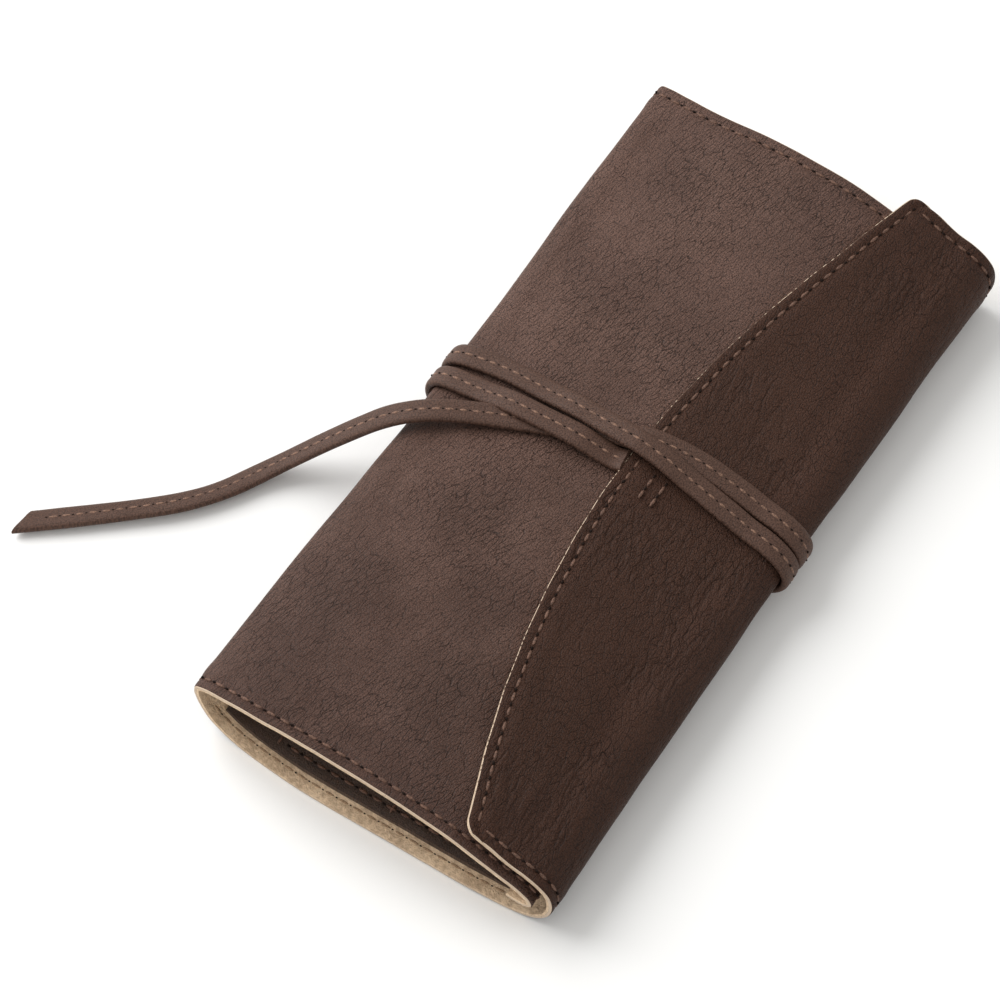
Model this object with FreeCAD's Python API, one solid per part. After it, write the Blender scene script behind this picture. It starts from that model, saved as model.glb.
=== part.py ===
import FreeCAD, Part
import math
import os
from FreeCAD import Vector

# Roll-up leather pencil case, closed and tied, lying on its back panel.
# X runs across the roll (+X to the side that the flap turns round), Y along the roll, +Z up.
# The origin is on the floor under the middle of the roll. Lengths are in millimetres.

os.makedirs("parts", exist_ok=True)

# driving dimensions
LENGTH = 195.0
HALF_WIDTH = 49.0
COVER = 1.2                 # outer leather
LINING = 0.8                # suede lining
SKIN_GAP = 0.02             # glue line between leather and lining
FLAP_GAP = 1.0              # air between the front panel and the flap over it
FRONT_HEIGHT = 28.0         # crown of the front panel above the floor
RIGHT_RADIUS = 10.0         # fold on the flap's side
LEFT_RADIUS = 3.0           # pinched fold on the far side from the flap
LEFT_FOLD_HEIGHT = 18.5
CURL_RADIUS = 3.0           # inner end of the front panel, turned under
CURL_RETURN = 12.0
FLAP_EDGE_X = 3.0           # how far the flap reaches over the front, at mid-length
FLAP_END_X = 26.0           # and at the two ends of the roll
GROOVE_DEPTH = 2.8          # how far the tie lifts the back panel off the floor
GROOVE_REACH = 12.0         # height at which that lift has died out
TIE_NEAR = -6.0             # stretch of the roll that the tie goes round
TIE_FAR = 22.0
TIE_RAMP = 10.0
SINK_TIE = 7.0              # how far the crown is pressed down: by the tie,
SINK_RAMP = 6.6             # just beside it,
SINK_NEAR = 2.5             # and at the two ends of the roll
SINK_FAR = 1.0
TIE_WIDTH = 6.0
TIE_THICK = 2.0
TIE_CLEAR = 0.4
TIE_ON_FLAP = 0.75          # clears the flap's seam
TIE_OVER = TIE_THICK + 1.1  # lift of a turn that lies on another
FLAP_NEAR = -94.7           # the flap is rolled a little askew, so it stops short of the near end
TAB_Y = 4.1                 # sewn end of the tie
TUCK_Y = 3.4                # where the second turn ends, under the first
TIE_SIDE = 13.5             # height between the top runs and the bottom runs of the tie
POCKET_INSET = 5.5          # pocket panel starts this far inside the near end
POCKET_LEFT = -30.0
POCKET_RIGHT = 36.0
POCKET_DEPTH = 139.5
POCKET_THICK = 1.0
SLOT_WIDTH = 31.5
STITCH_PITCH = 3.8
STITCH_LONG = 3.0
STITCH_WIDE = 0.7
STITCH_HIGH = 0.4
STITCH_INSET = 2.6

# derived values
HALF = LENGTH / 2
SKIN = COVER + SKIN_GAP + LINING
RIGHT_X = HALF_WIDTH - RIGHT_RADIUS
LEFT_X = LEFT_RADIUS - HALF_WIDTH
FLAP_ROUND = (HALF**2 + (FLAP_END_X - FLAP_EDGE_X)**2) / (2 * (FLAP_END_X - FLAP_EDGE_X))


def smooth(points, count):
    """count + 1 evenly numbered places on a smooth curve through (x, z) points."""
    curve = Part.BSplineCurve()
    curve.interpolate([Vector(x, 0, z) for x, z in points])
    a, b = curve.FirstParameter, curve.LastParameter
    places = [curve.value(a + (b - a) * i / count) for i in range(count + 1)]
    return [(p.x, p.z) for p in places]


def arc(cx, cz, r, start, end, count):
    """count + 1 (x, z) places on a round stretch, angles in degrees."""
    angles = [math.radians(start + (end - start) * i / count) for i in range(count + 1)]
    return [(cx + r * math.cos(a), cz + r * math.sin(a)) for a in angles]


def normals(line):
    """Unit normals on the right-hand side of a line of (x, z) places."""
    found = []
    for i in range(len(line)):
        x0, z0 = line[max(i - 1, 0)]
        x1, z1 = line[min(i + 1, len(line) - 1)]
        run = math.hypot(x1 - x0, z1 - z0)
        found.append(((z1 - z0) / run, (x0 - x1) / run))
    return found


def offset(line, depth):
    """The line moved to its left by depth, which is into the roll on every outer line here."""
    return [(x - nx * depth, z - nz * depth) for (x, z), (nx, nz) in zip(line, normals(line))]


# Outer lines of the rolled leather, in the order that the spiral runs: flap, right fold, back,
# left fold, front. Each runs so that the inside of the roll is on its left.
RIGHT_FOLD = arc(RIGHT_X, RIGHT_RADIUS, RIGHT_RADIUS, -86, 86, 22)
BACK_RISE = smooth([(-HALF_WIDTH, LEFT_FOLD_HEIGHT), (-47.8, 10.0), (-43.6, 3.4), (-36.5, 0.3), (-31.0, 0.0)], 14)
BACK = [(x, max(z, 0.0)) for x, z in BACK_RISE] + [(-31.0 + (RIGHT_X + 31.0) * i / 10, 0.0) for i in range(1, 11)]
LEFT_FOLD = arc(LEFT_X, LEFT_FOLD_HEIGHT, LEFT_RADIUS, 80, 167, 10)
FRONT_RISE = smooth(
    [(34.2, 19.6), (26.0, 23.2), (12.0, 26.8), (-4.0, FRONT_HEIGHT), (-20.0, 27.2), (-36.0, 24.3), (-44.9, 21.6)], 36
)
FRONT_CURL = arc(34.2 - CURL_RADIUS * 0.5, 19.6 - CURL_RADIUS * 0.87, CURL_RADIUS, -90, 45, 9)
FRONT_RETURN = [(FRONT_CURL[0][0] - CURL_RETURN * i / 6, FRONT_CURL[0][1]) for i in range(6, 0, -1)]
FRONT = FRONT_RETURN + FRONT_CURL + FRONT_RISE


def flap_line():
    """The flap follows the front panel's crown, then runs down to the top of the right fold."""
    lift = FLAP_GAP + SKIN
    over = [p for p in offset(FRONT_RISE, -lift) if -4 < p[0] < 30]
    return smooth([(RIGHT_X, 2 * RIGHT_RADIUS + 0.03), (35.5, 21.8)] + over[::4] + over[-1:], 34)


FLAP = flap_line()


# Along the roll: station, how far the crown sinks there, and how far the back is lifted.
STATIONS = [
    (-HALF, SINK_NEAR, 0.0),
    (-HALF * 0.58, (SINK_NEAR + SINK_RAMP) / 2, 0.0),
    (TIE_NEAR - TIE_RAMP, SINK_RAMP, 0.0),
    (TIE_NEAR, SINK_TIE, GROOVE_DEPTH),
    (TIE_FAR, SINK_TIE, GROOVE_DEPTH),
    (TIE_FAR + TIE_RAMP, SINK_RAMP, 0.0),
    (HALF * 0.66, (SINK_FAR + SINK_RAMP) / 2, 0.0),
    (HALF, SINK_FAR, 0.0),
]


def station(y):
    """Sink and lift at any place along the roll, in a straight run between the stations."""
    for (y0, sink0, lift0), (y1, sink1, lift1) in zip(STATIONS, STATIONS[1:]):
        if y <= y1:
            k = (y - y0) / (y1 - y0)
            return sink0 + (sink1 - sink0) * k, lift0 + (lift1 - lift0) * k
    return STATIONS[-1][1:]


def pressed(x, z, y, part):
    """A place of the plain section, moved as the tie presses the roll at station y."""
    sink, lift = station(y)
    if part == "upper":
        return x, z - sink * (0.4 + 0.6 * max(0.0, 1 - (x / 44)**2))
    if part == "right":
        share = 0.053 * max(0.0, z - RIGHT_RADIUS)
    else:
        share = 0.4 * z / LEFT_FOLD_HEIGHT
    return x, z - sink * share + lift * max(0.0, 1 - z / GROOVE_REACH)


def section(line, y, part):
    return [pressed(x, z, y, part) for x, z in line]


def band_wire(line, top, bottom, y):
    """Closed outline, at station y, of the layer between two depths under an outer line."""
    around = offset(line, top) + offset(line, bottom)[::-1]
    corners = [Vector(x, y, z) for x, z in around]
    return Part.makePolygon(corners + corners[:1])


def layer(line, top, bottom, part, near=-HALF, far=HALF):
    """One layer of the roll: a solid through its outlines at the stations between near and far."""
    places = [near] + [y for y, _, _ in STATIONS if near < y < far] + [far]
    pieces = []
    for y0, y1 in zip(places, places[1:]):
        ends = [band_wire(section(line, y, part), top, bottom, y) for y in (y0, y1)]
        pieces.append(Part.makeLoft(ends, True, True))
    return pieces[0].fuse(pieces[1:])


def save(shape, name):
    if not shape.isValid():
        print("not valid:", name)
    shape.exportStep("parts/" + name + ".step")
    box = shape.BoundBox
    print(
        "%-20s solids %3d  volume %9.1f  x %7.1f %7.1f  y %7.1f %7.1f  z %6.2f %6.2f"
        % (name, len(shape.Solids), shape.Volume, box.XMin, box.XMax, box.YMin, box.YMax, box.ZMin, box.ZMax)
    )


# Back panel, with the pocket panel sewn on its lining
def pocket_panel():
    """Flat sheet over the level part of the back panel."""
    line = [(POCKET_LEFT, 0.0), (POCKET_RIGHT, 0.0)]
    near = -HALF + POCKET_INSET
    under = SKIN + 0.1
    return layer(line, under, under + POCKET_THICK, "lower", near, near + POCKET_DEPTH)


def stitch(place, along, up):
    """One thread length lying on a surface, its long way on along."""
    side = up.cross(along).normalize()
    block = Part.makeBox(STITCH_LONG, STITCH_WIDE, STITCH_HIGH, Vector(-STITCH_LONG / 2, -STITCH_WIDE / 2, 0))
    turn = FreeCAD.Matrix(
        along.x, side.x, up.x, place.x,
        along.y, side.y, up.y, place.y,
        along.z, side.z, up.z, place.z,
        0, 0, 0, 1,
    )
    return block.transformGeometry(turn)


def walk(line, pitch, start, end):
    """Places every pitch along a line of (x, z), with tangent and outward normal."""
    found = []
    gone = 0.0
    target = start
    total = sum(math.dist(a, b) for a, b in zip(line, line[1:]))
    for a, b in zip(line, line[1:]):
        run = math.dist(a, b)
        while target <= gone + run and target < total - end:
            k = (target - gone) / run
            tx, tz = (b[0] - a[0]) / run, (b[1] - a[1]) / run
            found.append(((a[0] + (b[0] - a[0]) * k, a[1] + (b[1] - a[1]) * k), (tx, tz), (tz, -tx)))
            target += pitch
        gone += run
    return found


def end_row(line, y, keep):
    row = []
    for (x, z), (tx, tz), (nx, nz) in walk(section(line, y, "upper"), STITCH_PITCH, STITCH_PITCH / 2, 0):
        if keep(x, z):
            place = Vector(x + nx * 0.12, y, z + nz * 0.12)
            row.append(stitch(place, Vector(tx, 0, tz), Vector(nx, 0, nz)))
    return row


def pocket_stitches():
    """Divider seams between the pen slots."""
    top = SKIN + 0.1 + POCKET_THICK + 0.05
    row = []
    for n in range(-1, 2):
        x = (POCKET_LEFT + POCKET_RIGHT) / 2 + n * SLOT_WIDTH
        y = -HALF + POCKET_INSET + 4
        while y < -HALF + POCKET_INSET + POCKET_DEPTH - 4:
            if y < TIE_NEAR - TIE_RAMP - 2 or y > TIE_FAR + TIE_RAMP + 2:
                row.append(stitch(Vector(x, y, top), Vector(0, 1, 0), Vector(0, 0, 1)))
            y += STITCH_PITCH
    return Part.Compound(row)


# Flap
def flap_plan():
    """Solid that holds everything on the flap's side of its rounded front edge."""
    drum = Part.makeCylinder(FLAP_ROUND, 80, Vector(FLAP_EDGE_X + FLAP_ROUND, 0, -10))
    block = Part.makeBox(70, LENGTH + 2, 80, Vector(FLAP_EDGE_X - 2, -HALF - 1, -10))
    return drum.common(block)


def on_flap(x, y):
    """Height of the flap's outer face, and its outward normal."""
    line = section(FLAP, y, "upper")
    for a, b in zip(line, line[1:]):
        if min(a[0], b[0]) <= x <= max(a[0], b[0]):
            z = a[1] + (b[1] - a[1]) * (x - a[0]) / (b[0] - a[0])
            ahead = section([(0.0, 0.0)], y + 1, "upper")[0][1] - section([(0.0, 0.0)], y - 1, "upper")[0][1]
            share = (0.4 + 0.6 * max(0.0, 1 - (x / 44)**2)) * ahead / 2
            return z, Vector(a[1] - b[1], -share * (b[0] - a[0]), b[0] - a[0]).normalize() * (1 if b[0] > a[0] else -1)


def flap_stitches():
    row = []
    reach = FLAP_ROUND - STITCH_INSET
    near_angle = math.asin((FLAP_NEAR + 4.5) / reach)
    far_angle = math.asin((HALF - 4.5) / reach)
    count = int((far_angle - near_angle) * reach / STITCH_PITCH)
    for i in range(count + 1):
        angle = near_angle + (far_angle - near_angle) * i / count
        x = FLAP_EDGE_X + FLAP_ROUND - reach * math.cos(angle)
        y = reach * math.sin(angle)
        z, up = on_flap(x, y)
        along = Vector(math.sin(angle), math.cos(angle), 0)
        along = (along - up * along.dot(up)).normalize()
        row.append(stitch(Vector(x, y, z) + up * 0.16, along, up))
    for y in (FLAP_NEAR + STITCH_INSET, HALF - STITCH_INSET):
        row += end_row(FLAP, y, lambda x, z: x > FLAP_END_X + 2.5)
    return Part.Compound(row)


def tie_tab():
    """The sewn end of the tie, glued up under the flap's leather."""
    line = [p for p in FLAP if FLAP_EDGE_X - 3 < p[0] < 26]
    near, far = TAB_Y - TIE_WIDTH / 2, TAB_Y + TIE_WIDTH / 2
    strip = layer(line, COVER + 0.05, COVER + 1.6, "upper", near, far)
    return strip.common(Part.makeBox(18, 20, 60, Vector(FLAP_EDGE_X + 0.3, -6, 0)))


def tab_stitches():
    """Two short rows beside the flap's edge that hold the sewn end of the tie."""
    row = []
    for inset in (8.0, 11.5):
        for i in range(3):
            x = FLAP_EDGE_X + inset
            y = TAB_Y - 6 + i * STITCH_PITCH
            z, up = on_flap(x, y)
            along = Vector(0, 1, 0)
            row.append(stitch(Vector(x, y, z) + up * 0.12, (along - up * along.dot(up)).normalize(), up))
    return Part.Compound(row)


# Tie: one flat leather strap, sewn under the flap, wound twice round the roll and tucked under itself
def tie_ring():
    """Outermost line of the roll at the tie, anticlockwise from the flap's fold over the crown."""
    crown = [p for p in FLAP if FLAP_EDGE_X - 1 < p[0]]
    crown += [p for p in FRONT_RISE if p[0] < FLAP_EDGE_X - 8] + LEFT_FOLD
    middle = (TIE_NEAR + TIE_FAR) / 2
    return section(crown, middle, "upper") + section(BACK[1:], middle, "lower") + section(RIGHT_FOLD[1:-1], middle, "right")


RING = tie_ring()
RING_NORMALS = normals(RING + RING[:1])[: len(RING)]
RING_RUN = [0.0]
for first, second in zip(RING, RING[1:] + RING[:1]):
    RING_RUN.append(RING_RUN[-1] + math.dist(first, second))


def on_ring(run):
    """Place and outward normal at a distance along the ring, which may be more than one turn."""
    run = run % RING_RUN[-1]
    for i in range(len(RING)):
        if RING_RUN[i] <= run <= RING_RUN[i + 1]:
            k = (run - RING_RUN[i]) / (RING_RUN[i + 1] - RING_RUN[i])
            j = (i + 1) % len(RING)
            x = RING[i][0] + (RING[j][0] - RING[i][0]) * k
            z = RING[i][1] + (RING[j][1] - RING[i][1]) * k
            nx = RING_NORMALS[i][0] * (1 - k) + RING_NORMALS[j][0] * k
            nz = RING_NORMALS[i][1] * (1 - k) + RING_NORMALS[j][1] * k
            size = math.hypot(nx, nz)
            return x, z, nx / size, nz / size


def ring_at(x, upper=True):
    """Distance along the ring at which it passes x, over the top or along the bottom."""
    best = None
    for i, (px, pz) in enumerate(RING):
        if (pz > TIE_SIDE) == upper and (best is None or abs(px - x) < abs(RING[best][0] - x)):
            best = i
    return RING_RUN[best]


def ease(a, b, k):
    k = k * k * (3 - 2 * k)
    return a + (b - a) * k


def strap(sections):
    """A flat strap through (centre, width direction, thickness direction) sections."""
    wires = []
    for centre, across, up in sections:
        w = across * (TIE_WIDTH / 2)
        t = up * (TIE_THICK / 2)
        wires.append(Part.makePolygon([centre - w - t, centre + w - t, centre + w + t, centre - w + t, centre - w - t]))
    return Part.makeLoft(wires, True, True)


def tie_turns():
    turn = RING_RUN[-1]
    left = RING_RUN[RING.index(min(RING))]
    right = RING_RUN[RING.index(max(RING))]
    stops = [
        (ring_at(1.0), 4.0, -2.0),
        (ring_at(-3.5), 3.7, TIE_OVER),
        (ring_at(-32.0), 1.7, TIE_OVER),
        (ring_at(-40.0), 1.1, TIE_CLEAR),
        (left, 0.0, TIE_ON_FLAP),
        (ring_at(0.0, False), 3.0, TIE_CLEAR),
        (right, 6.0, TIE_CLEAR),
        (turn + ring_at(35.0), 7.6, TIE_ON_FLAP),
        (turn + ring_at(27.0), 8.0, TIE_OVER),
        (turn + ring_at(-12.0), 10.4, TIE_OVER),
        (turn + ring_at(-22.0), 10.6, TIE_CLEAR),
        (turn + left, 9.0, TIE_ON_FLAP),
        (turn + ring_at(0.0, False), 12.0, TIE_CLEAR),
        (turn + right, 15.0, TIE_CLEAR),
        (2 * turn + ring_at(30.0), 14.2, TIE_ON_FLAP),
        (2 * turn + ring_at(6.0), 13.2, TIE_ON_FLAP),
        (2 * turn + ring_at(2.0), 12.2, TIE_ON_FLAP),
        (2 * turn + ring_at(-3.0), 10.0, TIE_CLEAR),
        (2 * turn + ring_at(-13.0), TUCK_Y, TIE_CLEAR),
    ]
    places = []
    for (r0, y0, h0), (r1, y1, h1) in zip(stops, stops[1:]):
        steps = max(2, int((r1 - r0) / 2.5))
        for i in range(steps):
            k = i / steps
            places.append((r0 + (r1 - r0) * k, ease(y0, y1, k), ease(h0, h1, k)))
    places.append(stops[-1])
    centres = []
    for run, y, lift in places:
        x, z, nx, nz = on_ring(run)
        reach = lift + TIE_THICK / 2
        centres.append((Vector(x + nx * reach, y, z + nz * reach), Vector(nx, 0, nz)))
    sections = []
    for i, (centre, up) in enumerate(centres):
        along = centres[min(i + 1, len(centres) - 1)][0] - centres[max(i - 1, 0)][0]
        across = up.cross(along).normalize()
        up = along.cross(across).normalize()
        sections.append((centre, across, up))
    return strap(sections), sum((b[0] - a[0]).Length for a, b in zip(centres, centres[1:]))


# Free tail of the tie: from under the turns, over the left edge and out over the floor.
# Straight runs joined by tangent arcs.
TAIL = [
    Vector(-17.5, 1.2, 22.75),
    Vector(-31.5, -3.2, 22.45),
    Vector(-47.0, -11.6, 22.4),
    Vector(-59.5, -20.5, 11.6),
    Vector(-71.0, -31.5, 1.5),
    Vector(-79.0, -48.0, 1.15),
    Vector(-94.0, -62.5, 1.2),
    Vector(-118.0, -79.5, 1.15),
]


def rounded_route(points, steps=8):
    """The route with each corner made a tangent arc of radius 0.45 x shorter run / tan(half turn)."""
    route = [points[0]]
    for before, corner, after in zip(points, points[1:], points[2:]):
        come = corner - before
        go = after - corner
        turn = come.getAngle(go)
        shorter = min(come.Length, go.Length)
        radius = 0.45 * shorter / math.tan(turn / 2)
        print("tie tail: turn %5.1f deg, radius %6.1f mm" % (math.degrees(turn), radius))
        come.normalize()
        go.normalize()
        reach = 0.45 * shorter
        start = corner - come * reach
        centre = corner + (go - come).normalize() * (radius / math.cos(turn / 2))
        spoke = start - centre
        for i in range(steps + 1):
            swing = turn * i / steps
            route.append(centre + spoke * math.cos(swing) + come * (radius * math.sin(swing)))
    route.append(points[-1])
    return route


def tie_tail():
    route = rounded_route(TAIL)
    sections = []
    for i, centre in enumerate(route):
        along = route[min(i + 1, len(route) - 1)] - route[max(i - 1, 0)]
        across = Vector(0, 0, 1).cross(along).normalize()
        sections.append((centre, across, along.cross(across).normalize()))
    length = sum((b - a).Length for a, b in zip(route, route[1:]))
    shape = strap(sections)
    print("tie tail: length %.1f mm, volume %.1f, section x length %.1f"
          % (length, shape.Volume, length * TIE_WIDTH * TIE_THICK))
    return shape


save(layer(BACK, 0, COVER, "lower"), "back_cover")
save(layer(BACK, COVER + SKIN_GAP, SKIN, "lower"), "back_lining")
save(pocket_panel(), "pocket_panel")
save(pocket_stitches(), "pocket_stitches")
save(layer(LEFT_FOLD, 0, COVER, "upper"), "left_fold_cover")
save(layer(LEFT_FOLD, COVER + SKIN_GAP, SKIN, "upper"), "left_fold_lining")
save(layer(RIGHT_FOLD, 0, COVER, "right"), "right_fold_cover")
save(layer(RIGHT_FOLD, COVER + SKIN_GAP, SKIN, "right"), "right_fold_lining")
save(layer(FRONT, 0, COVER, "upper"), "front_cover")
save(layer(FRONT, COVER + SKIN_GAP, SKIN, "upper"), "front_lining")
front_rows = []
for end in (-HALF + STITCH_INSET, HALF - STITCH_INSET):
    front_rows += end_row(FRONT_RISE, end, lambda x, z: x < FLAP_END_X - 1)
save(Part.Compound(front_rows), "front_stitches")
plan = flap_plan()
save(layer(FLAP, 0, COVER, "upper", FLAP_NEAR).common(plan), "flap_cover")
lining = layer(FLAP, COVER + SKIN_GAP, SKIN, "upper", FLAP_NEAR).common(plan)
room = Part.makeBox(19.5, TIE_WIDTH + 0.4, 60, Vector(FLAP_EDGE_X - 1, TAB_Y - TIE_WIDTH / 2 - 0.2, 0))
save(lining.cut(room), "flap_lining")
save(flap_stitches(), "flap_stitches")
save(tie_tab(), "tie_tab")
save(tab_stitches(), "tab_stitches")
turns, turns_length = tie_turns()
print("tie turns: length %.1f mm" % turns_length)
save(turns, "tie_turns")
save(tie_tail(), "tie_tail")
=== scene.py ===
import math
import bpy
import numpy as np
from mathutils import Matrix, Vector, noise


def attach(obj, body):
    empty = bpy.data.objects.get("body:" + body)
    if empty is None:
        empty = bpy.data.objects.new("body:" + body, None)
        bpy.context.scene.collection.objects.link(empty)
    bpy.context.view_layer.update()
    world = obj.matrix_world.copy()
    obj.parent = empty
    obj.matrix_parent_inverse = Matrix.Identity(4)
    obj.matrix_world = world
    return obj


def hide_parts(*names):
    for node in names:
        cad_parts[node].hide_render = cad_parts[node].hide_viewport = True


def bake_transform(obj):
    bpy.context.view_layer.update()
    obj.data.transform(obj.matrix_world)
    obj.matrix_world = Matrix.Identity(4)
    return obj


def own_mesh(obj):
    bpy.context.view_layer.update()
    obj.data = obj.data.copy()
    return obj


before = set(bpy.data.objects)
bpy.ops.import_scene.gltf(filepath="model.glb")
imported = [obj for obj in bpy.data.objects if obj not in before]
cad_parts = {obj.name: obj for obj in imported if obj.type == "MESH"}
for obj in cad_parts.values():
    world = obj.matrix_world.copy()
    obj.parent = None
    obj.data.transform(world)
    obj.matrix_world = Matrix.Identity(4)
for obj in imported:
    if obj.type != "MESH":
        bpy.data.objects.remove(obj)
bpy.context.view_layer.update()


# Studio. The closed roll lies on a white table under one large soft light from its far left.
# The camera looks down on the corner where the flap meets the near end.
azimuth = math.radians(33.2)
elevation = math.radians(59.45)
camera_reach = 1.2
key_reach = 1.5
rightward = Vector((math.cos(azimuth), math.sin(azimuth), 0))
onward = Vector((-math.sin(azimuth), math.cos(azimuth), 0))
upward = Vector((0, 0, math.cos(elevation))) + onward * math.sin(elevation)
backward = Vector((0, 0, math.sin(elevation))) - onward * math.cos(elevation)
aim = rightward * -0.02346 + upward * 0.0039
lens = bpy.data.cameras.new("camera")
lens.sensor_width = 36
lens.lens = 184.0
lens.clip_end = 20
camera = bpy.data.objects.new("camera", lens)
turned_to_roll = Matrix((rightward, upward, backward)).transposed().to_4x4()
camera.matrix_world = Matrix.Translation(aim + backward * camera_reach) @ turned_to_roll
bpy.context.collection.objects.link(camera)
bpy.context.scene.camera = camera
bpy.context.scene.view_settings.view_transform = "Standard"

key_light = bpy.data.lights.new("key_light", "AREA")
key_light.shape = "DISK"
key_light.size = 1.5
key_light.energy = 25
key = bpy.data.objects.new("key_light", key_light)
toward_key = (rightward * -1.0 + onward * 0.75 + Vector((0, 0, 1.0))).normalized()
key.location = toward_key * key_reach
key.rotation_euler = toward_key.to_track_quat("Z", "Y").to_euler()
bpy.context.collection.objects.link(key)

world = bpy.data.worlds.new("room")
world.use_nodes = True
room_light = world.node_tree.nodes["Background"]
room_light.inputs["Color"].default_value = (1.0, 0.99, 0.975, 1)
room_light.inputs["Strength"].default_value = 0.72
bpy.context.scene.world = world

table_mesh = bpy.data.meshes.new("table")
table_corners = [(-6, -6, -0.00005), (6, -6, -0.00005), (6, 6, -0.00005), (-6, 6, -0.00005)]
table_mesh.from_pydata(table_corners, [], [(0, 1, 2, 3)])
table = bpy.data.objects.new("table", table_mesh)
bpy.context.collection.objects.link(table)
table_white = bpy.data.materials.new("table_white")
table_white.use_nodes = True
table_surface = table_white.node_tree.nodes["Principled BSDF"]
table_surface.inputs["Base Color"].default_value = (0.92, 0.92, 0.91, 1)
table_surface.inputs["Roughness"].default_value = 0.9
table_mesh.materials.append(table_white)


# Tail of the tie. A strap of brown leather, folded to 6 mm and sewn down its middle, comes out
# from under the two turns, drops off the left edge and runs out over the table to a slant cut.
MM = 0.001
TIE_WIDTH = 6.0
TIE_THICK = 2.1
TIE_PITCH = 3.15
TAIL = [
    (-12.5, 5.0, 22.2),
    (-31.5, -2.6, 22.5),
    (-47.0, -11.8, 22.4),
    (-59.5, -20.5, 11.6),
    (-71.0, -31.5, 1.9),
    (-79.0, -47.0, 2.0),
    (-93.0, -60.8, 2.1),
    (-112.0, -76.2, 1.5),
]


class Value:
    """A number that varies over a surface. Arithmetic on it adds the Math nodes."""

    def __init__(self, finish, socket):
        self.finish = finish
        self.socket = socket

    def with_math(self, kind, first, second):
        return self.finish.node("ShaderNodeMath", {"operation": kind}, {0: first, 1: second})

    def __add__(self, other):
        return self.with_math("ADD", self, other)

    def __sub__(self, other):
        return self.with_math("SUBTRACT", self, other)

    def __rsub__(self, other):
        return self.with_math("SUBTRACT", other, self)

    def __mul__(self, other):
        return self.with_math("MULTIPLY", self, other)

    __radd__ = __add__


class Finish:
    """A material, filled in node by node."""

    def __init__(self, name):
        self.material = bpy.data.materials.new(name)
        self.material.use_nodes = True
        self.tree = self.material.node_tree
        self.surface = self.tree.nodes["Principled BSDF"]

    def node(self, kind, settings, inputs, output=0):
        made = self.tree.nodes.new(kind)
        for name, value in settings.items():
            setattr(made, name, value)
        self.feed(made, inputs)
        return Value(self, made.outputs[output])

    def feed(self, made, inputs):
        for name, value in inputs.items():
            if isinstance(value, Value):
                self.tree.links.new(value.socket, made.inputs[name])
            else:
                made.inputs[name].default_value = value

    def step(self, value, low, high, start=0.0, end=1.0):
        """start where value is under low, end where it is over high, and eased between."""
        limits = {"Value": value, "From Min": low, "From Max": high, "To Min": start, "To Max": end}
        return self.node("ShaderNodeMapRange", {"interpolation_type": "SMOOTHSTEP"}, limits)

    def mixed(self, share, first, second):
        return self.node("ShaderNodeMix", {"data_type": "RGBA"}, {0: share, 6: first, 7: second}, output=2)

    def noise(self, place, scale, detail=3.0, output=0):
        cloudy = {"Vector": place, "Scale": scale, "Detail": detail}
        return self.node("ShaderNodeTexNoise", {}, cloudy, output)

    def done(self, colour, roughness, height, depth, gloss):
        """Ends the material: height is raised by depth metres, gloss is the specular level."""
        bump = self.node("ShaderNodeBump", {}, {"Height": height, "Distance": depth, "Strength": 1.0})
        self.feed(self.surface, {"Base Color": colour, "Roughness": roughness, "Normal": bump})
        self.feed(self.surface, {"Specular IOR Level": gloss})
        return self.material


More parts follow.
